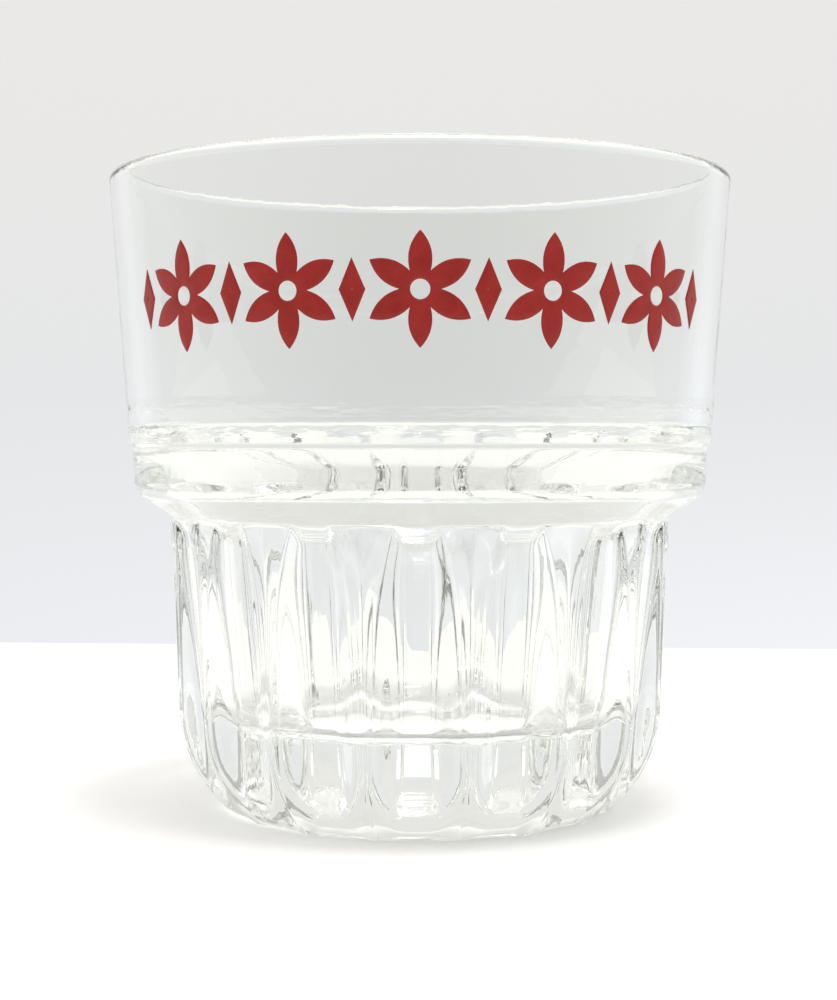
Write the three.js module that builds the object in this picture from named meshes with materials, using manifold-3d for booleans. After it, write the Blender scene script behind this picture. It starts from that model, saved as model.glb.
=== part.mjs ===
// A pressed tea glass that stacks: a heavy ribbed body, a thick collar with a sloping ledge, and a plain
// flared bowl with a fired red enamel frieze on its front. Millimetres, +Z up. The origin is on the table at
// the middle of the foot, and the printed side faces -Y.
import * as THREE from "three";
import { mergeVertices } from "three/addons/utils/BufferGeometryUtils.js";
import Module from "manifold-3d";

const wasm = await Module();
wasm.setup();

// Bowl: the plain flared upper part. The lip is as round as the wall is thick.
const height = 80.4;
const rimRadius = 39.1;
const bowlFootRadius = 36.85;
const lipWall = 2.5;
const bowlFootWall = 2.9;

// Collar: the thick band between the bowl and the ribs. Its top edge is a small step in from the bowl.
const collarTop = 46.1;
const collarTopRadius = 36.4;
const collarFootRadius = 36.1;
const collarStepHeight = 0.5;
const collarCorner = 1.1;

// Ledge: the sloping underside of the collar, which rises outwards to the collar's side.
const ledgeTop = 40.4;
const ledgeRisePerOutShare = 0.69;
const ledgeFillet = 2.1;

// Ribbed body: ribs with slightly domed faces and slanting flanks stand proud of narrow plain grooves. The
// flanks widen downward from the ledge in a pointed arch, and the faces run out to a point at the foot.
const ribCount = 16;
const ribTurnDegrees = 10.55;
const grooveTopWidth = 2.4;
const grooveFootWidth = 3.4;
const flankTopWidth = 1.35;
const flankWidth = 3.75;
const flankArchHeight = 11;
const flankEndSlopeShare = 0.4;
const faceCrownShare = 0.15;
const ribTopRadius = 31.75;
const ribHeelRadius = 30.75;
const ribDepthTop = 1.1;
const ribDepthHeel = 2.7;
const ribDepthFoot = 1.6;
const ribPointHeight = 2.5;
const ribPointWidth = 0.4;
const ribRoot = 0.8;

// Heel and foot: the ribs curve in to a flat ring that the glass stands on, round a shallow hollow. The
// grooves run straighter down than the ribs and turn in at a knee.
const heelHeight = 13;
const heelBulgeHeight = 5;
const heelBulgeInset = 0.55;
const grooveKneeHeight = 1;
const grooveKneeInset = 1.1;
const grooveKneeReach = 3.1;
const footRadius = 23.6;
const footRingWidth = 2.8;
const footHollowDepth = 2.3;
const footHollowSlope = 3;

// Inside: a wide bowl, a cone level with the collar, and a narrower well with a thick floor. The cone starts
// and ends in wide soft curves.
const shelfTop = 49.2;
const coneTop = 46.4;
const coneTopRadius = 33.7;
const coneFoot = 39.4;
const coneFootRadius = 27.6;
const coneMiddleShare = 0.31;
const wellTop = 35.5;
const wellTopRadius = 26.8;
const wellFootRadius = 24.25;
const floorHeight = 11.6;
const floorCorner = 4.2;

// Enamel frieze: rosettes with lozenges between them, in a thin layer on the outside of the bowl.
const rosetteCount = 5;
const rosetteRadius = 6.4;
const rosetteNotchRadius = 2.3;
const rosetteEyeRadius = 1.1;
const petalCount = 6;
const petalBulgeShare = 0.76;
const petalSpreadShare = 0.36;
const lozengeWidth = 3;
const lozengeHeight = 7;
const friezePitch = 7.5;
const friezeHeightShare = 0.5;
const enamelThickness = 0.2;
const enamelGap = 0.1;

// Fineness of the round surfaces
const turns = 64;
const curveSteps = 4;
const faceSteps = 3;
const flankSteps = 4;
const archSteps = 3;

// Parts of the outline that several pieces share
const ledgeHeightAt = (radius) => ledgeTop - (collarFootRadius - radius) * ledgeRisePerOutShare;
const grooveTopRadius = ribTopRadius - ribDepthTop;
const grooveHeelRadius = ribHeelRadius - ribDepthHeel;
const grooveFootRadius = footRadius - ribDepthFoot;
const grooveTopHeight = ledgeHeightAt(grooveTopRadius);
const ledgeFootHeight = ledgeHeightAt(ribTopRadius);
const bowlFootHeight = collarTop + collarStepHeight;
const bowlRiseShare = (rimRadius - bowlFootRadius) / (height - lipWall / 2 - bowlFootHeight);
const bowlRadiusAt = (z) => bowlFootRadius + (z - bowlFootHeight) * bowlRiseShare;

// A closed geometry as a solid that can be joined and cut.
function solidOf(geometry) {
  const bare = geometry.clone();
  bare.deleteAttribute("normal");
  bare.deleteAttribute("uv");
  const merged = mergeVertices(bare);
  return new wasm.Manifold(
    new wasm.Mesh({
      numProp: 3,
      vertProperties: merged.attributes.position.array,
      triVerts: new Uint32Array(merged.index.array),
    }),
  );
}

// A solid as a named mesh.
function meshOf(solid, name, material) {
  const { numProp, numVert, vertProperties, triVerts } = solid.getMesh();
  const positions = new Float32Array(numVert * 3);
  for (let i = 0; i < numVert; i += 1) {
    positions.set(vertProperties.subarray(i * numProp, i * numProp + 3), i * 3);
  }
  const geometry = new THREE.BufferGeometry();
  geometry.setAttribute("position", new THREE.BufferAttribute(positions, 3));
  geometry.setIndex(new THREE.BufferAttribute(triVerts, 1));
  geometry.computeVertexNormals();
  const mesh = new THREE.Mesh(geometry, material);
  mesh.name = name;
  return mesh;
}

// An outline of (radius, height) points, turned round the Z axis.
function turned(points) {
  return new THREE.LatheGeometry(points, turns).rotateX(Math.PI / 2);
}

// A line towards tip that turns softly towards after, over a reach on either side of tip.
function bendAt(outline, tip, after, reach) {
  const start = outline.currentPoint.clone().sub(tip).setLength(reach).add(tip);
  const end = after.clone().sub(tip).setLength(reach).add(tip);
  outline.lineTo(start.x, start.y);
  outline.quadraticCurveTo(tip.x, tip.y, end.x, end.y);
}

// The outside of a groove: from the foot ring round the knee and up to the start of the heel.
function grooveHeel(outline) {
  const knee = new THREE.Vector2(grooveHeelRadius - grooveKneeInset, grooveKneeHeight);
  bendAt(outline, knee, new THREE.Vector2(grooveHeelRadius, heelHeight), grooveKneeReach);
  outline.lineTo(grooveHeelRadius, heelHeight);
}

// The glass without its ribs: up the outside from the middle of the foot, over the lip, and down the inside.
function blankOutline() {
  const outline = new THREE.Path();
  const footRingInner = footRadius - footRingWidth;
  outline.moveTo(0, footHollowDepth);
  outline.lineTo(footRingInner - footHollowSlope, footHollowDepth);
  outline.lineTo(footRingInner, 0);
  outline.lineTo(grooveFootRadius, 0);
  grooveHeel(outline);
  const collarSide = new THREE.Vector2(collarFootRadius, ledgeTop);
  bendAt(outline, new THREE.Vector2(grooveTopRadius, grooveTopHeight), collarSide, ledgeFillet);
  bendAt(outline, collarSide, new THREE.Vector2(collarTopRadius, collarTop), collarCorner);
  outline.lineTo(collarTopRadius, collarTop);
  outline.lineTo(bowlFootRadius, bowlFootHeight);
  outline.lineTo(rimRadius, height - lipWall / 2);
  outline.absarc(rimRadius - lipWall / 2, height - lipWall / 2, lipWall / 2, 0, Math.PI);
  outline.lineTo(bowlRadiusAt(shelfTop) - bowlFootWall, shelfTop);
  const coneMiddle = new THREE.Vector2(coneTopRadius, coneTop).lerp(
    new THREE.Vector2(coneFootRadius, coneFoot),
    coneMiddleShare,
  );
  outline.quadraticCurveTo(coneTopRadius, coneTop, coneMiddle.x, coneMiddle.y);
  outline.quadraticCurveTo(coneFootRadius, coneFoot, wellTopRadius, wellTop);
  const wellFoot = new THREE.Vector2(wellFootRadius, floorHeight);
  bendAt(outline, wellFoot, new THREE.Vector2(0, floorHeight), floorCorner);
  outline.lineTo(0, floorHeight);
  return outline.getPoints(curveSteps);
}

// The radius of a rising outline at a height.
function radiusAt(points, z) {
  const i = Math.max(1, points.findIndex((point) => point.y >= z));
  return THREE.MathUtils.mapLinear(z, points[i - 1].y, points[i].y, points[i - 1].x, points[i].x);
}

// How far out a rib's crest and the groove beside it lie at each height: round the heel, up the pointed arch
// of the flanks, and then straight up into the collar.
function ribStations() {
  const crest = new THREE.Path();
  crest.moveTo(footRadius, 0);
  crest.quadraticCurveTo(ribHeelRadius - heelBulgeInset, heelBulgeHeight, ribHeelRadius, heelHeight);
  crest.lineTo(ribTopRadius, ledgeFootHeight);
  const groove = new THREE.Path();
  groove.moveTo(grooveFootRadius, 0);
  grooveHeel(groove);
  groove.lineTo(grooveTopRadius, ledgeFootHeight);
  const crestPoints = crest.getPoints(curveSteps);
  const groovePoints = groove.getPoints(curveSteps);
  const heights = crestPoints.slice(0, -1).map((point) => point.y);
  for (let i = archSteps; i >= 0; i -= 1) {
    heights.push(ledgeFootHeight - (flankArchHeight * i) / archSteps);
  }
  const stations = heights.map((z) => {
    return { z, crest: radiusAt(crestPoints, z), groove: radiusAt(groovePoints, z) };
  });
  stations.push({ z: (ledgeFootHeight + collarTop) / 2, crest: ribTopRadius, groove: grooveTopRadius });
  return stations;
}

// Half the angle that a groove takes up at a height, and half the angle of a rib's face. The flanks lie
// between.
function ribTurns(z) {
  const rise = Math.min(z / ledgeFootHeight, 1);
  const climb = Math.sqrt(Math.min(z / heelHeight, 1));
  const grooveWidth = THREE.MathUtils.lerp(grooveFootWidth, grooveTopWidth, rise);
  const groove = grooveWidth / 2 / THREE.MathUtils.lerp(footRadius, grooveTopRadius, climb);
  const arch = THREE.MathUtils.clamp((ledgeFootHeight - z) / flankArchHeight, 0, 1);
  const flank = THREE.MathUtils.lerp(flankWidth, flankTopWidth, (1 - arch) ** 2) / ribTopRadius;
  const point = THREE.MathUtils.clamp((z - ribPointHeight) / (heelHeight - ribPointHeight), 0, 1);
  const tip = ribPointWidth / 2 / footRadius;
  const widestFace = Math.PI / ribCount - groove - flank;
  const face = THREE.MathUtils.lerp(tip, widestFace, Math.sin((point * Math.PI) / 2));
  return { groove, face };
}

// The height of a flank at a share of its width, as a share of the rib's depth.
function flankRise(share) {
  const arrive = (share ** 3 - share ** 2) * flankEndSlopeShare;
  return (1 - faceCrownShare) * (3 * share ** 2 - 2 * share ** 3 + arrive);
}

// One rib at the front: a domed face between two flanks, with its back buried in the wall.
function rib() {
  const rows = ribStations().map(({ z, crest, groove }) => {
    const turns = ribTurns(z);
    const edge = Math.PI / ribCount - turns.groove;
    const half = [];
    for (let i = 1; i <= flankSteps; i += 1) {
      const share = i / flankSteps;
      const radius = THREE.MathUtils.lerp(groove, crest, flankRise(share));
      half.push([radius, THREE.MathUtils.lerp(edge, turns.face, share)]);
    }
    const row = half.map(([radius, turn]) => new THREE.Vector3().setFromCylindricalCoords(radius, -turn, z));
    row.unshift(new THREE.Vector3().setFromCylindricalCoords(groove - ribRoot / 2, -edge, z));
    for (let i = 1; i < faceSteps; i += 1) {
      const across = (2 * i) / faceSteps - 1;
      const dome = 1 - faceCrownShare * (1 - Math.cos((across * Math.PI) / 2));
      const radius = THREE.MathUtils.lerp(groove, crest, dome);
      row.push(new THREE.Vector3().setFromCylindricalCoords(radius, across * turns.face, z));
    }
    for (const [radius, turn] of half.reverse()) {
      row.push(new THREE.Vector3().setFromCylindricalCoords(radius, turn, z));
    }
    row.push(new THREE.Vector3().setFromCylindricalCoords(groove - ribRoot / 2, edge, z));
    for (const side of [1, -1]) {
      row.push(new THREE.Vector3().setFromCylindricalCoords(groove - ribRoot, side * edge, z));
    }
    return row;
  });
  const width = rows[0].length;
  const index = [];
  for (let r = 0; r + 1 < rows.length; r += 1) {
    for (let i = 0; i < width; i += 1) {
      const here = r * width + i;
      const next = r * width + ((i + 1) % width);
      index.push(here, next, next + width, here, next + width, here + width);
    }
  }
  const top = (rows.length - 1) * width;
  for (let i = 1; i + 1 < width; i += 1) {
    index.push(0, i + 1, i);
    index.push(top, top + i, top + i + 1);
  }
  const geometry = new THREE.BufferGeometry().setFromPoints(rows.flat());
  geometry.setIndex(index);
  return geometry.rotateX(Math.PI / 2);
}

// The whole pressing: the turned blank with its ring of ribs.
function tumbler() {
  let solid = solidOf(turned(blankOutline()));
  for (let i = 0; i < ribCount; i += 1) {
    const turn = (i / ribCount) * 2 * Math.PI + THREE.MathUtils.degToRad(ribTurnDegrees);
    solid = solid.add(solidOf(rib().rotateZ(turn)));
  }
  return solid;
}

// The enamel layer that every motif is cut from: a thin sleeve that follows the outside of the bowl.
function enamelSleeve() {
  const low = bowlFootHeight;
  const high = height - lipWall / 2;
  const inner = enamelGap;
  const outer = enamelGap + enamelThickness;
  const corners = [
    [inner, low],
    [outer, low],
    [outer, high],
    [inner, high],
    [inner, low],
  ];
  return solidOf(turned(corners.map(([out, z]) => new THREE.Vector2(bowlRadiusAt(z) + out, z))));
}

// A flower of pointed petals with a round eye.
function rosetteShape() {
  const shape = new THREE.Shape();
  const at = (radius, turn) => [-radius * Math.sin(turn), radius * Math.cos(turn)];
  const step = (2 * Math.PI) / petalCount;
  shape.moveTo(...at(rosetteNotchRadius, -step / 2));
  for (let i = 0; i < petalCount; i += 1) {
    const middle = i * step;
    const bulge = rosetteRadius * petalBulgeShare;
    shape.quadraticCurveTo(...at(bulge, middle - step * petalSpreadShare), ...at(rosetteRadius, middle));
    shape.quadraticCurveTo(
      ...at(bulge, middle + step * petalSpreadShare),
      ...at(rosetteNotchRadius, middle + step / 2),
    );
  }
  shape.holes.push(new THREE.Path().absarc(0, 0, rosetteEyeRadius, 0, 2 * Math.PI, true));
  return shape;
}

function lozengeShape() {
  return new THREE.Shape([
    new THREE.Vector2(0, -lozengeHeight / 2),
    new THREE.Vector2(lozengeWidth / 2, 0),
    new THREE.Vector2(0, lozengeHeight / 2),
    new THREE.Vector2(-lozengeWidth / 2, 0),
  ]);
}

// A flat shape pressed through the sleeve from the front, at its place along the frieze.
function motif(sleeve, shape, place) {
  const middle = bowlFootHeight + (height - bowlFootHeight) * friezeHeightShare;
  const radius = bowlRadiusAt(middle);
  const cutter = new THREE.ExtrudeGeometry(shape, {
    depth: radius,
    bevelEnabled: false,
    curveSegments: curveSteps,
  });
  cutter.rotateX(Math.PI / 2);
  cutter.translate(0, -radius / 2, middle);
  cutter.rotateZ((place * friezePitch) / radius);
  return sleeve.intersect(solidOf(cutter));
}

const clearGlass = new THREE.MeshStandardMaterial({
  name: "clear_glass",
  color: 0xe9efe6,
  roughness: 0.05,
  metalness: 0,
  transparent: true,
  opacity: 0.35,
});
const redEnamel = new THREE.MeshStandardMaterial({
  name: "red_enamel",
  color: 0x9c2b24,
  roughness: 0.4,
  metalness: 0,
});

const glass = new THREE.Group();
glass.add(meshOf(tumbler(), "tumbler", clearGlass));
const sleeve = enamelSleeve();
for (let i = 0; i < rosetteCount; i += 1) {
  const place = 2 * i - (rosetteCount - 1);
  glass.add(meshOf(motif(sleeve, rosetteShape(), place), `print_rosette_${i + 1}`, redEnamel));
}
for (let i = 0; i <= rosetteCount; i += 1) {
  const place = 2 * i - rosetteCount;
  glass.add(meshOf(motif(sleeve, lozengeShape(), place), `print_lozenge_${i + 1}`, redEnamel));
}

export default glass;
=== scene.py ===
# A pressed tea glass on a white table in front of a pale wall. Metres, +Z up, in the frame of the packed
# model: the origin is on the table at the middle of the foot, and the printed side faces -Y.
import math

import bpy
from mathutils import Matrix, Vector


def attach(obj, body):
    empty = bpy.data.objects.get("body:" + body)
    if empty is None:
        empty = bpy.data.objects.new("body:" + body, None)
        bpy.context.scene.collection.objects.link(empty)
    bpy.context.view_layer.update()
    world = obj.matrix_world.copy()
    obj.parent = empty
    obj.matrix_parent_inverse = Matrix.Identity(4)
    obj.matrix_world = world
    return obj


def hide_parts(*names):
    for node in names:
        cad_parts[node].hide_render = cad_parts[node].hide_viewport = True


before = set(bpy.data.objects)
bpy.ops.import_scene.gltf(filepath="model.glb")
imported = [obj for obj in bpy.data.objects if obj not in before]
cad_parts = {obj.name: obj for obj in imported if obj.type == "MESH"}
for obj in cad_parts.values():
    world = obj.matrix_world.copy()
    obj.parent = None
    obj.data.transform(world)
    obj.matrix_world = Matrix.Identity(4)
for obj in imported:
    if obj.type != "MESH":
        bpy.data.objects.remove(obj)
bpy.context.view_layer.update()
scene = bpy.context.scene
scene.view_settings.view_transform = "Standard"
mm = 0.001


# Camera
# The photo was taken from about 26 cm away, level with the collar and pointing a little down. The long side
# of the picture is its height, so the 36 mm of film lie along that.
photo_width = 837
photo_height = 1000
film = 36.0
focal_pixels = 2030
horizon_pixel = 436
axis_pixel = 420
camera_distance = 259.5 * mm
camera_height = 47.5 * mm

camera_data = bpy.data.cameras.new("camera")
camera_data.sensor_width = film
camera_data.lens = film * focal_pixels / photo_height
camera_data.clip_start = 10 * mm
camera = bpy.data.objects.new("camera", camera_data)
scene.collection.objects.link(camera)
camera_side = (photo_width / 2 - axis_pixel) / focal_pixels * camera_distance
camera.location = (camera_side, -camera_distance, camera_height)
camera_drop = math.atan2(photo_height / 2 - horizon_pixel, focal_pixels)
camera.rotation_euler = (math.pi / 2 - camera_drop, 0, 0)
scene.camera = camera


# Tumbler
# The whole glass is one pressing of soda-lime glass: a gob is pressed into a ribbed mould by a smooth plunger,
# and the marks of the mould are then softened in a flame. Nothing is joined to it.
height = 80.4 * mm
rim_radius = 39.1 * mm
lip_wall = 2.5 * mm
lip_steps = 16
bowl_foot_radius = 36.85 * mm
bowl_foot_wall = 2.9 * mm
collar_top = 46.1 * mm
collar_top_radius = 36.4 * mm
collar_foot_radius = 36.1 * mm
collar_step = 0.5 * mm
collar_corner = 1.1 * mm
step_corner = 0.2 * mm
ledge_top = 40.4 * mm
ledge_rise_per_out = 0.69
rib_count = 16
rib_turn = math.radians(10.55)
groove_top_width = 2.4 * mm
groove_foot_width = 3.4 * mm
flank_top_width = 1.35 * mm
flank_width = 3.75 * mm
flank_arch = 11 * mm
flank_end_slope = 0.4
face_crown_share = 0.15
rib_top_radius = 31.75 * mm
rib_heel_radius = 30.75 * mm
rib_depth_top = 1.1 * mm
rib_depth_heel = 2.7 * mm
rib_depth_foot = 1.1 * mm
rib_point = 2.5 * mm
rib_point_width = 0.4 * mm
groove_fillet = 2.1 * mm
crest_fillet = 0.25 * mm
heel_height = 13 * mm
heel_bulge_height = 5 * mm
heel_bulge_inset = 0.55 * mm
groove_knee_height = 1.6 * mm
groove_knee_inset = 1.1 * mm
groove_knee = 3.1 * mm
foot_radius = 23.6 * mm
foot_ring_width = 2.8 * mm
foot_corner = 0.5 * mm
foot_hollow = 1.7 * mm
hollow_steps = 8
hollow_lead_share = 0.4
shelf_top = 48.9 * mm
cone_top = 46.45 * mm
cone_top_radius = 33.4 * mm
cone_foot = 38.8 * mm
cone_foot_radius = 27.45 * mm
cone_middle_share = 0.34
well_top = 37 * mm
well_top_radius = 26.95 * mm
well_foot_radius = 24.25 * mm
floor_height = 11.6 * mm
floor_corner = 4.2 * mm
floor_steps = 5


def corner(before, tip, after, reach, steps):
    """Points round a soft corner at tip, from one straight line to the next."""
    before, tip, after = Vector(before), Vector(tip), Vector(after)
    start = tip + (before - tip).normalized() * reach
    end = tip + (after - tip).normalized() * reach
    return bend(start, tip, end, steps)


def bend(start, control, end, steps):
    """Points along a curve that leaves start towards control and arrives at end from it."""
    start, control, end = Vector(start), Vector(control), Vector(end)
    shares = [i / steps for i in range(steps + 1)]
    return [start.lerp(control, share).lerp(control.lerp(end, share), share) for share in shares]


def straight(start, end, steps):
    """Points between two others, with one close to each end so that the shading stays flat up to the ends."""
    shares = [0.01] + [i / steps for i in range(1, steps)] + [0.99]
    return [start.lerp(end, share) for share in shares]


def ledge_height(radius):
    """The height of the sloping ledge under the collar, at a distance from the axis."""
    return ledge_top - (collar_foot_radius - radius) * ledge_rise_per_out


def lower_outline(top, heel, foot, fillet, knee):
    """The outline from the foot up to the ledge along one rib crest, or along one groove if it has a knee. Both
    have as many points, so that every column in between can be mixed from them."""
    ring_inside = foot_radius - foot_ring_width
    points = []
    for i in range(1, hollow_steps):
        share = i / hollow_steps
        points.append(Vector((ring_inside * share, foot_hollow * (1 - share ** 3))))
    heel_point = Vector((heel, heel_height))
    control = Vector((heel - heel_bulge_inset, heel_bulge_height))
    if knee:
        control = Vector((heel - groove_knee_inset, groove_knee_height))
    hollow_lead = (0, foot_hollow * hollow_lead_share)
    points += corner(hollow_lead, (ring_inside, 0), (foot, 0), foot_corner, steps=3)
    points += corner((ring_inside, 0), (foot, 0), control, foot_corner, steps=4)
    knee_steps = 14
    rise_steps = 6
    if knee:
        points += corner((foot, 0), control, heel_point, knee, knee_steps)
        points += [points[-1].lerp(heel_point, i / rise_steps) for i in range(1, rise_steps + 1)]
    else:
        points += bend(points[-1], control, heel_point, knee_steps + rise_steps + 1)[1:]
    meet = Vector((top, ledge_height(top)))
    below = meet + (heel_point - meet).normalized() * fillet
    points += straight(heel_point, below, steps=20)
    points += corner(heel_point, meet, (collar_foot_radius, ledge_top), fillet, steps=8)
    return points


def rib_outline(relief):
    """The outline of the ribbed part at one place between the bottom of a groove, 0, and a rib crest, 1."""
    groove = lower_outline(rib_top_radius - rib_depth_top, rib_heel_radius - rib_depth_heel,
                           foot_radius - rib_depth_foot, groove_fillet, groove_knee)
    crest = lower_outline(rib_top_radius, rib_heel_radius, foot_radius, crest_fillet, 0)
    return [low.lerp(high, relief) for low, high in zip(groove, crest, strict=True)]


def upper_outline():
    """The turned part of the glass: from the ledge over the lip and down to the inside of the floor."""
    collar_side = Vector((collar_foot_radius, ledge_top))
    collar_edge = Vector((collar_top_radius, collar_top))
    bowl_foot = Vector((bowl_foot_radius, collar_top + collar_step))
    lip = Vector((rim_radius, height - lip_wall / 2))
    ledge_foot = (rib_top_radius, ledge_height(rib_top_radius))
    ledge_edge = corner(ledge_foot, collar_side, collar_edge, collar_corner, steps=12)
    step_edge = corner(collar_side, collar_edge, bowl_foot, step_corner, steps=5)
    step_foot = corner(collar_edge, bowl_foot, lip, step_corner, steps=5)
    points = ledge_edge + straight(ledge_edge[-1], step_edge[0], steps=6)
    points += step_edge + step_foot + straight(step_foot[-1], lip, steps=10)
    middle = rim_radius - lip_wall / 2
    for i in range(lip_steps + 1):
        turn = math.pi * i / lip_steps
        points.append(Vector((middle + lip_wall / 2 * math.cos(turn), lip.y + lip_wall / 2 * math.sin(turn))))
    slope = (rim_radius - bowl_foot_radius) / (lip.y - bowl_foot.y)
    shelf_edge = Vector((bowl_foot_radius + (shelf_top - bowl_foot.y) * slope - bowl_foot_wall, shelf_top))
    inner_lip = points[-1]
    points += straight(inner_lip, shelf_edge, steps=10)
    cone_start = Vector((cone_top_radius, cone_top))
    cone_end = Vector((cone_foot_radius, cone_foot))
    cone_middle = cone_start.lerp(cone_end, cone_middle_share)
    points += bend(shelf_edge, cone_start, cone_middle, steps=16)
    points += bend(cone_middle, cone_end, (well_top_radius, well_top), steps=20)[1:]
    well_edge = points[-1]
    well_foot = Vector((well_foot_radius, floor_height))
    corner_points = corner(well_edge, well_foot, (0, floor_height), floor_corner, steps=14)
    points += straight(well_edge, corner_points[0], steps=10)
    points += corner_points
    flat = corner_points[-1].x
    points += [Vector((flat * (1 - i / floor_steps), floor_height)) for i in range(1, floor_steps)]
    return points


def rib_shares():
    """Columns from the middle of a groove to the middle of a rib: (part, share of that part)."""
    flank = (0, 0.03, 0.08, 0.16, 0.25, 0.35, 0.45, 0.55, 0.65, 0.75, 0.84, 0.92, 0.97)
    face = (0, 0.06, 0.2, 0.4, 0.6, 0.8, 1)
    columns = [("groove", i / 3) for i in range(3)]
    columns += [("flank", share) for share in flank]
    return columns + [("face", share) for share in face]


def relief_of(part, share):
    """Height of a column as a share of the rib's: a flat groove, a slanting flank or a slightly domed face."""
    if part == "groove":
        return 0
    if part == "face":
        return 1 - face_crown_share * (1 - math.sin(share * math.pi / 2))
    arrive = (share ** 3 - share ** 2) * flank_end_slope
    return (1 - face_crown_share) * (3 * share ** 2 - 2 * share ** 3 + arrive)


def column_turn(part, share, height_here):
    """Angle of a column from the middle of its groove. The flanks widen downward in a pointed arch."""
    half_pitch = math.pi / rib_count
    top = ledge_height(rib_top_radius)
    climb = min(1, max(0, height_here / heel_height))
    rise = min(1, max(0, height_here / top))
    groove = (groove_foot_width + (groove_top_width - groove_foot_width) * rise) / 2
    groove /= foot_radius + (rib_top_radius - rib_depth_top - foot_radius) * climb ** 0.5
    arch = min(1, max(0, (top - height_here) / flank_arch))
    flank = (flank_width - (flank_width - flank_top_width) * (1 - arch) ** 2) / rib_top_radius
    point = min(1, max(0, (height_here - rib_point) / (heel_height - rib_point)))
    tip = rib_point_width / 2 / foot_radius
    face = tip + (half_pitch - groove - flank - tip) * math.sin(point * math.pi / 2)
    flank = half_pitch - groove - face
    if part == "groove":
        return groove * share
    if part == "flank":
        return groove + flank * share
    return groove + flank + face * share


def build_tumbler():
    """One closed skin, in upright columns of points that run from the foot over the lip to the inside floor."""
    upper = upper_outline()
    half = rib_shares()
    pitch = 2 * math.pi / rib_count
    columns = []
    for rib in range(rib_count):
        start = rib_turn - pitch / 2 + rib * pitch
        for part, share in half:
            columns.append((start, 1, part, share))
        for part, share in reversed(half[1:-1]):
            columns.append((start + pitch, -1, part, share))
    outlines = {(part, share): rib_outline(relief_of(part, share)) + upper for part, share in half}
    count = len(columns)
    rows = len(upper) + len(rib_outline(0))
    vertices = []
    for start, way, part, share in columns:
        for point in outlines[part, share]:
            turn = start + way * column_turn(part, share, min(point.y, ledge_height(rib_top_radius)))
            vertices.append((point.x * math.sin(turn), -point.x * math.cos(turn), point.y))
    faces = []
    for c in range(count):
        d = (c + 1) % count
        for r in range(rows - 1):
            faces.append((c * rows + r, d * rows + r, d * rows + r + 1, c * rows + r + 1))
    foot_middle = len(vertices)
    vertices.append((0, 0, foot_hollow))
    floor_middle = len(vertices)
    vertices.append((0, 0, floor_height))
    for c in range(count):
        d = (c + 1) % count
        faces.append((foot_middle, d * rows, c * rows))
        faces.append((floor_middle, c * rows + rows - 1, d * rows + rows - 1))
    mesh = bpy.data.meshes.new("tumbler_glass")
    mesh.from_pydata(vertices, [], faces)
    mesh.validate()
    mesh.shade_smooth()
    piece = bpy.data.objects.new("tumbler_glass", mesh)
    scene.collection.objects.link(piece)
    return piece


def linear(colour):
    """An sRGB hex colour as linear red, green, blue and an alpha of 1."""
    shares = [int(colour[i:i + 2], 16) / 255 for i in (1, 3, 5)]
    return [s / 12.92 if s <= 0.04045 else ((s + 0.055) / 1.055) ** 2.4 for s in shares] + [1]


def add_node(tree, kind, values=None, **settings):
    """Add a node, set it up, and set or link its inputs."""
    node = tree.nodes.new(kind)
    for name, setting in settings.items():
        setattr(node, name, setting)
    for socket, value in (values or {}).items():
        if isinstance(value, bpy.types.NodeSocket):
            tree.links.new(value, node.inputs[socket])
        else:
            node.inputs[socket].default_value = value
    return node


def new_tree(name):
    """A material of that name and its empty node tree."""
    material = bpy.data.materials.new(name)
    material.use_nodes = True
    material.node_tree.nodes.clear()
    return material, material.node_tree


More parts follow.
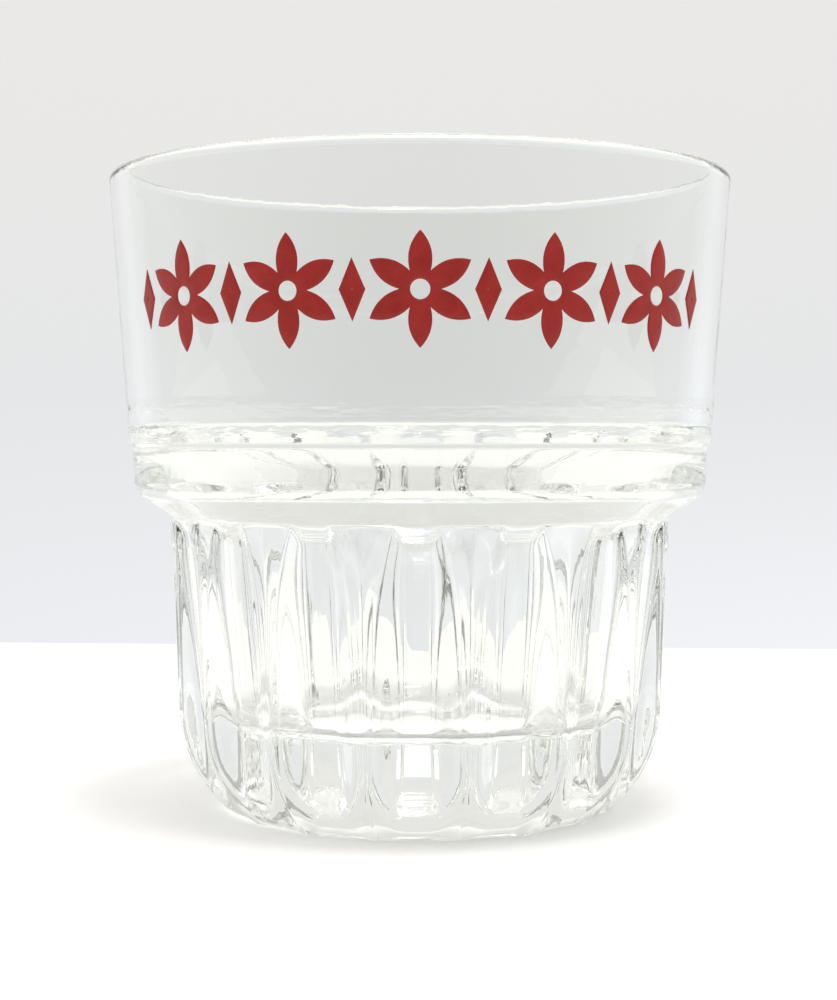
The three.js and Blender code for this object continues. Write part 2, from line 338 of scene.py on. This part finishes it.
def pressed_glass():
    """Clear glass, faintly green and straw in its depth. The mould leaves it soft waves and fine chill marks all
    over, upright strokes on the ribbed outside, and ripples along the edges of the collar and the shelf."""
    glass_ior = 1.52
    wave_width = 7 * mm
    wave_length = 45 * mm
    wave_depth = 0.02 * mm
    chill_size = 1.6 * mm
    chill_depth = 0.0035 * mm
    stroke_width = 0.9 * mm
    stroke_length = 25 * mm
    stroke_depth = 0.01 * mm
    mould_fade = 0.4 * mm
    ledge_fade = 1 * mm
    ripple_length = 2.6 * mm
    ripple_height = 0.6 * mm
    ripple_depth = 0.05 * mm
    rippled_bands = (
        (ledge_top, 0.9 * mm),
        (shelf_top - 0.7 * mm, 0.9 * mm),
        (shelf_top + 2 * mm, 1.2 * mm),
    )
    material, tree = new_tree("pressed_soda_lime_glass")
    place = add_node(tree, "ShaderNodeTexCoord").outputs["Object"]
    drawn = add_node(tree, "ShaderNodeMapping", {
        "Vector": place,
        "Scale": (1 / wave_width, 1 / wave_width, 1 / wave_length),
    })
    waves = add_node(tree, "ShaderNodeTexNoise", {
        "Vector": drawn.outputs[0],
        "Scale": 1.0,
        "Detail": 2.0,
    })
    chill = add_node(tree, "ShaderNodeTexNoise", {
        "Vector": place,
        "Scale": 1 / chill_size,
        "Detail": 1.0,
    })
    broad = add_node(tree, "ShaderNodeBump", {
        "Height": waves.outputs[0],
        "Distance": wave_depth,
        "Strength": 1.0,
    })
    fine = add_node(tree, "ShaderNodeBump", {
        "Height": chill.outputs[0],
        "Distance": chill_depth,
        "Strength": 1.0,
        "Normal": broad.outputs[0],
    })
    strokes = add_node(tree, "ShaderNodeMapping", {
        "Vector": place,
        "Scale": (1 / stroke_width, 1 / stroke_width, 1 / stroke_length),
    })
    strokes = add_node(tree, "ShaderNodeTexNoise", {
        "Vector": strokes.outputs[0],
        "Scale": 1.0,
        "Detail": 1.0,
    })
    flat = add_node(tree, "ShaderNodeVectorMath", {0: place, 1: (1, 1, 0)}, operation="MULTIPLY")
    radius = add_node(tree, "ShaderNodeVectorMath", {0: flat.outputs[0]}, operation="LENGTH")
    up = add_node(tree, "ShaderNodeSeparateXYZ", {0: place})
    outside = add_node(tree, "ShaderNodeMapRange", {
        "Value": radius.outputs["Value"],
        "From Min": well_top_radius,
        "From Max": well_top_radius + mould_fade,
    })
    below = add_node(tree, "ShaderNodeMapRange", {
        "Value": up.outputs["Z"],
        "From Min": floor_height,
        "From Max": floor_height - mould_fade,
    })
    ribbed = add_node(tree, "ShaderNodeMapRange", {
        "Value": up.outputs["Z"],
        "From Min": ledge_height(rib_top_radius),
        "From Max": ledge_height(rib_top_radius) - ledge_fade,
    })
    moulded = add_node(tree, "ShaderNodeMath", {
        0: outside.outputs[0],
        1: below.outputs[0],
    }, operation="ADD")
    moulded = add_node(tree, "ShaderNodeMath", {
        0: moulded.outputs[0],
        1: ribbed.outputs[0],
    }, operation="MULTIPLY")
    stroke = add_node(tree, "ShaderNodeMath", {
        0: strokes.outputs[0],
        1: moulded.outputs[0],
    }, operation="MULTIPLY")
    drawn_down = add_node(tree, "ShaderNodeBump", {
        "Height": stroke.outputs[0],
        "Distance": stroke_depth,
        "Strength": 1.0,
        "Normal": fine.outputs[0],
    })
    near_edge = None
    for edge, reach in rippled_bands:
        off = add_node(tree, "ShaderNodeMath", {0: up.outputs["Z"], 1: edge}, operation="SUBTRACT")
        off = add_node(tree, "ShaderNodeMath", {0: off.outputs[0]}, operation="ABSOLUTE")
        band = add_node(tree, "ShaderNodeMapRange", {
            "Value": off.outputs[0],
            "From Min": reach,
            "From Max": 0.0,
        })
        if near_edge is not None:
            band = add_node(tree, "ShaderNodeMath", {
                0: near_edge.outputs[0],
                1: band.outputs[0],
            }, operation="MAXIMUM")
        near_edge = band
    rippled = add_node(tree, "ShaderNodeMapping", {
        "Vector": place,
        "Scale": (1 / ripple_length, 1 / ripple_length, 1 / ripple_height),
    })
    rippled = add_node(tree, "ShaderNodeTexNoise", {
        "Vector": rippled.outputs[0],
        "Scale": 1.0,
        "Detail": 1.0,
    })
    ripple = add_node(tree, "ShaderNodeMath", {
        0: rippled.outputs[0],
        1: near_edge.outputs[0],
    }, operation="MULTIPLY")
    edged = add_node(tree, "ShaderNodeBump", {
        "Height": ripple.outputs[0],
        "Distance": ripple_depth,
        "Strength": 1.0,
        "Normal": drawn_down.outputs[0],
    })
    glass = add_node(tree, "ShaderNodeBsdfPrincipled", {
        "Base Color": linear("#FDFEFC"),
        "Roughness": 0.0,
        "IOR": glass_ior,
        "Transmission Weight": 1.0,
        "Normal": edged.outputs[0],
    })
    # In its shadow the glass lets through what it doesn't mirror, as the real one does by refraction.
    path = add_node(tree, "ShaderNodeLightPath")
    fresnel = add_node(tree, "ShaderNodeFresnel", {"IOR": glass_ior})
    kept = add_node(tree, "ShaderNodeMath", {0: 1.0, 1: fresnel.outputs[0]}, operation="SUBTRACT")
    shadow = add_node(tree, "ShaderNodeBsdfTransparent", {"Color": kept.outputs[0]})
    surface = add_node(tree, "ShaderNodeMixShader", {
        0: path.outputs["Is Shadow Ray"],
        1: glass.outputs[0],
        2: shadow.outputs[0],
    })
    tint = add_node(tree, "ShaderNodeVolumeAbsorption", {"Color": linear("#DDFAD3"), "Density": 1.0})
    add_node(tree, "ShaderNodeOutputMaterial", {
        "Surface": surface.outputs[0],
        "Volume": tint.outputs[0],
    })
    return material


tumbler = build_tumbler()
tumbler.data.materials.append(pressed_glass())
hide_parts("tumbler")
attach(tumbler, "root")


# Print
# A frieze of flowers and lozenges in red ceramic enamel, screen printed on the outside of the bowl and fired
# onto it. Each flower and each lozenge is a patch of its own.
rosette_count = 5
rosette_radius = 6.4 * mm
rosette_notch_radius = 2.3 * mm
rosette_eye_radius = 1.1 * mm
petal_count = 6
petal_bulge_share = 0.76
petal_spread_share = 0.36
lozenge_width = 3 * mm
lozenge_height = 7 * mm
lozenge_core_share = 0.02
lozenge_side_steps = 12
petal_side_steps = 14
frieze_pitch = 7.5 * mm
frieze_height_share = 0.5
enamel_lift = 0.03 * mm
enamel_thickness = 0.1 * mm
enamel_edge = 0.22 * mm


def bowl_radius(height_here):
    """The outside of the bowl at a height above the table."""
    low = collar_top + collar_step
    slope = (rim_radius - bowl_foot_radius) / (height - lip_wall / 2 - low)
    return bowl_foot_radius + (height_here - low) * slope


def rosette_loops():
    """The outline of a six-petalled flower and the round eye inside it, point for point."""
    outline = []
    step = 2 * math.pi / petal_count
    bulge = rosette_radius * petal_bulge_share
    for petal in range(petal_count):
        middle = petal * step
        for near, spread, far in (
            ((rosette_notch_radius, -step / 2), -step, (rosette_radius, 0)),
            ((rosette_radius, 0), step, (rosette_notch_radius, step / 2)),
        ):
            ends = [Vector((-r * math.sin(middle + a), r * math.cos(middle + a)))
                    for r, a in (near, (bulge, spread * petal_spread_share), far)]
            outline += bend(*ends, petal_side_steps)[:-1]
    eye = [point.normalized() * rosette_eye_radius for point in outline]
    return outline, eye


def lozenge_loops():
    """The outline of a lozenge and the tiny loop it closes on, point for point."""
    corners = [Vector((0, -lozenge_height / 2)), Vector((lozenge_width / 2, 0)),
               Vector((0, lozenge_height / 2)), Vector((-lozenge_width / 2, 0))]
    outline = []
    for i, start in enumerate(corners):
        end = corners[(i + 1) % 4]
        outline += [start.lerp(end, j / lozenge_side_steps) for j in range(lozenge_side_steps)]
    return outline, [point * lozenge_core_share for point in outline]


def enamel_patch(name, loops, place):
    """A closed, softly domed patch that follows the bowl, between the inner and the outer loop."""
    outline, inner = loops
    middle = collar_top + collar_step + (height - collar_top - collar_step) * frieze_height_share
    turn = place * frieze_pitch / bowl_radius(middle)
    # Each ring's place from the inner loop out, and its height; the two at a rim lie one enamel_edge in from it.
    inner_rim, outer_rim = 0.08, 0.9
    rings = [(0, 0), (0, 0.5), (inner_rim, 1), (0.3, 1), (0.6, 1), (outer_rim, 1), (1, 0.5), (1, 0), (0.5, 0)]
    vertices = []
    for share, rise in rings:
        for near, far in zip(inner, outline, strict=True):
            along = near.lerp(far, share)
            if share in (inner_rim, outer_rim):
                edge = min(0.5, enamel_edge / (far - near).length)
                along = near.lerp(far, edge if share == inner_rim else 1 - edge)
            up = middle + along.y
            radius = bowl_radius(up) + enamel_lift + enamel_thickness * rise
            angle = turn + math.asin(along.x / radius)
            vertices.append((radius * math.sin(angle), -radius * math.cos(angle), up))
    count = len(outline)
    faces = []
    for r in range(len(rings)):
        s = (r + 1) % len(rings)
        for c in range(count):
            d = (c + 1) % count
            faces.append((r * count + c, r * count + d, s * count + d, s * count + c))
    mesh = bpy.data.meshes.new(name)
    mesh.from_pydata(vertices, [], faces)
    mesh.validate()
    mesh.shade_smooth()
    patch = bpy.data.objects.new(name, mesh)
    scene.collection.objects.link(patch)
    return patch


def fired_enamel():
    """Satin brick red with thinner spots where the screen laid less colour, and a slight orange-peel skin."""
    patch_size = 2.4 * mm
    mesh_size = 0.22 * mm
    skin_depth = 0.004 * mm
    smoothest = 0.28
    roughest = 0.5
    thin_colour = 0.75
    full_colour = 1.25
    material, tree = new_tree("fired_red_enamel")
    place = add_node(tree, "ShaderNodeTexCoord").outputs["Object"]
    cloud = add_node(tree, "ShaderNodeTexNoise", {"Vector": place, "Scale": 1 / patch_size, "Detail": 4.0})
    grain = add_node(tree, "ShaderNodeTexNoise", {"Vector": place, "Scale": 1 / mesh_size, "Detail": 2.0})
    mixed = add_node(tree, "ShaderNodeMath", {0: cloud.outputs[0], 1: grain.outputs[0]}, operation="ADD")
    share = add_node(tree, "ShaderNodeMapRange", {
        "Value": mixed.outputs[0],
        "From Min": thin_colour,
        "From Max": full_colour,
    })
    colour = add_node(tree, "ShaderNodeMix", {
        0: share.outputs[0],
        6: linear("#96201A"),
        7: linear("#A82720"),
    }, data_type="RGBA")
    rough = add_node(tree, "ShaderNodeMapRange", {
        "Value": cloud.outputs[0],
        "To Min": smoothest,
        "To Max": roughest,
    })
    skin = add_node(tree, "ShaderNodeBump", {
        "Height": grain.outputs[0],
        "Distance": skin_depth,
        "Strength": 1.0,
    })
    enamel = add_node(tree, "ShaderNodeBsdfPrincipled", {
        "Base Color": colour.outputs[2],
        "Roughness": rough.outputs[0],
        "Specular IOR Level": 0.35,
        "Normal": skin.outputs[0],
    })
    add_node(tree, "ShaderNodeOutputMaterial", {"Surface": enamel.outputs[0]})
    return material


red_enamel = fired_enamel()
for i in range(rosette_count):
    rosette = enamel_patch(f"rosette_{i + 1}", rosette_loops(), 2 * i - (rosette_count - 1))
    rosette.data.materials.append(red_enamel)
    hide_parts(f"print_rosette_{i + 1}")
    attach(rosette, "root")
for i in range(rosette_count + 1):
    lozenge = enamel_patch(f"lozenge_{i + 1}", lozenge_loops(), 2 * i - rosette_count)
    lozenge.data.materials.append(red_enamel)
    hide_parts(f"print_lozenge_{i + 1}")
    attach(lozenge, "root")


# Table and wall
# The glass stands on a white table, in front of a plain wall. The table ends at an edge that isn't quite square
# to the view. The wall is the world, so that the glass bends it as it bends the table.
table_back = 198 * mm
table_front = -240 * mm
table_half_width = 900 * mm
table_turn = math.radians(-4.5)
table_lift = 0.22
table_lift_in_glass = 0.14
wall_half_width = 0.2
wall_foot = -0.1
wall_middle = 0.02
wall_top = 0.215
room_front = 0.03
room_side = 1.22
room_side_from = 0.35
room_side_to = 0.6
room_ceiling = 1.2
room_ceiling_from = 0.5
room_ceiling_to = 0.65
room_fill = 1.0
lamp_power = 4.2
lamp_size = 260 * mm
lamp_place = (110 * mm, -200 * mm, 1200 * mm)
light_bounces = 32

table_mesh = bpy.data.meshes.new("table")
corners = []
for x, y in ((-1, table_front), (1, table_front), (1, table_back), (-1, table_back)):
    across = x * table_half_width
    corners.append((
        across * math.cos(table_turn) - y * math.sin(table_turn),
        across * math.sin(table_turn) + y * math.cos(table_turn),
        0,
    ))
table_mesh.from_pydata(corners, [], [(0, 1, 2, 3)])
table = bpy.data.objects.new("table", table_mesh)
scene.collection.objects.link(table)
# White laminate, a little lifted where it is seen straight or through the glass, so that it stays white there.
material, tree = new_tree("white_laminate")
path = add_node(tree, "ShaderNodeLightPath")
paint = add_node(tree, "ShaderNodeBsdfDiffuse", {"Color": linear("#F2F2F0")})
in_glass = add_node(tree, "ShaderNodeMath", {
    0: path.outputs["Is Glossy Ray"],
    1: path.outputs["Is Transmission Ray"],
}, operation="MAXIMUM")
in_glass = add_node(tree, "ShaderNodeMath", {
    0: in_glass.outputs[0],
    1: table_lift_in_glass,
}, operation="MULTIPLY")
lift = add_node(tree, "ShaderNodeMath", {
    0: path.outputs["Is Camera Ray"],
    1: table_lift,
    2: in_glass.outputs[0],
}, operation="MULTIPLY_ADD")
glow = add_node(tree, "ShaderNodeEmission", {"Color": linear("#FFFFFF"), "Strength": lift.outputs[0]})
both = add_node(tree, "ShaderNodeAddShader", {0: paint.outputs[0], 1: glow.outputs[0]})
add_node(tree, "ShaderNodeOutputMaterial", {"Surface": both.outputs[0]})
table_mesh.materials.append(material)

# The wall is a pale matt grey that grows brighter and bluer towards the table, more so on the right. What the
# glass mirrors is the rest of the room: dark behind the camera, bright at the sides and the ceiling.
world = bpy.data.worlds.new("wall")
world.use_nodes = True
world.node_tree.nodes.clear()
tree = world.node_tree
direction = add_node(tree, "ShaderNodeTexCoord")
axes = add_node(tree, "ShaderNodeSeparateXYZ", {0: direction.outputs["Generated"]})
sideways = add_node(tree, "ShaderNodeMapRange", {
    "Value": axes.outputs["X"],
    "From Min": -wall_half_width,
    "From Max": wall_half_width,
})
low = add_node(tree, "ShaderNodeMapRange", {
    "Value": axes.outputs["Z"],
    "From Min": wall_foot,
    "From Max": wall_middle,
})
high = add_node(tree, "ShaderNodeMapRange", {
    "Value": axes.outputs["Z"],
    "From Min": wall_middle,
    "From Max": wall_top,
})
foot_colour = add_node(tree, "ShaderNodeMix", {
    0: sideways.outputs[0],
    6: linear("#EDEEF2"),
    7: linear("#F2F4F8"),
}, data_type="RGBA")
low_colour = add_node(tree, "ShaderNodeMix", {
    0: low.outputs[0],
    6: foot_colour.outputs[2],
    7: linear("#E6E7E8"),
}, data_type="RGBA")
wall_colour = add_node(tree, "ShaderNodeMix", {
    0: high.outputs[0],
    6: low_colour.outputs[2],
    7: linear("#EBE9E7"),
}, data_type="RGBA")
path = add_node(tree, "ShaderNodeLightPath")
mirrored = add_node(tree, "ShaderNodeMath", {0: path.outputs["Glossy Depth"], 1: 1.0}, operation="MINIMUM")
front = add_node(tree, "ShaderNodeMapRange", {
    "Value": axes.outputs["Y"],
    "From Min": -1.0,
    "From Max": 1.0,
    "To Min": room_front,
    "To Max": 1.0,
})
off_middle = add_node(tree, "ShaderNodeMath", {0: axes.outputs["X"]}, operation="ABSOLUTE")
side = add_node(tree, "ShaderNodeMapRange", {
    "Value": off_middle.outputs[0],
    "From Min": room_side_from,
    "From Max": room_side_to,
    "To Min": 1.0,
    "To Max": room_side,
})
level = add_node(tree, "ShaderNodeMix", {
    0: mirrored.outputs[0],
    2: 1.0,
    3: front.outputs[0],
}, data_type="FLOAT")
level = add_node(tree, "ShaderNodeMath", {0: level.outputs[0], 1: side.outputs[0]}, operation="MULTIPLY")
ceiling = add_node(tree, "ShaderNodeMapRange", {
    "Value": axes.outputs["Z"],
    "From Min": room_ceiling_from,
    "From Max": room_ceiling_to,
    "To Min": 0.0,
    "To Max": 1.0,
})
room = add_node(tree, "ShaderNodeMix", {
    0: ceiling.outputs[0],
    2: level.outputs[0],
    3: room_ceiling,
}, data_type="FLOAT")
seen = add_node(tree, "ShaderNodeMix", {
    0: path.outputs["Is Camera Ray"],
    2: room.outputs[0],
    3: 1.0,
}, data_type="FLOAT")
lit = add_node(tree, "ShaderNodeMix", {
    0: path.outputs["Is Diffuse Ray"],
    2: seen.outputs[0],
    3: room_fill,
}, data_type="FLOAT")
air = add_node(tree, "ShaderNodeBackground", {"Color": wall_colour.outputs[2], "Strength": lit.outputs[0]})
add_node(tree, "ShaderNodeOutputWorld", {"Surface": air.outputs[0]})
scene.world = world

lamp_data = bpy.data.lights.new("ceiling_lamp", "AREA")
lamp_data.shape = "DISK"
lamp_data.size = lamp_size
lamp_data.energy = lamp_power
lamp = bpy.data.objects.new("ceiling_lamp", lamp_data)
lamp.location = lamp_place
lamp.rotation_euler = Vector(lamp.location).to_track_quat("Z", "Y").to_euler()
scene.collection.objects.link(lamp)

scene.cycles.max_bounces = light_bounces
scene.cycles.transmission_bounces = light_bounces
scene.cycles.glossy_bounces = light_bounces
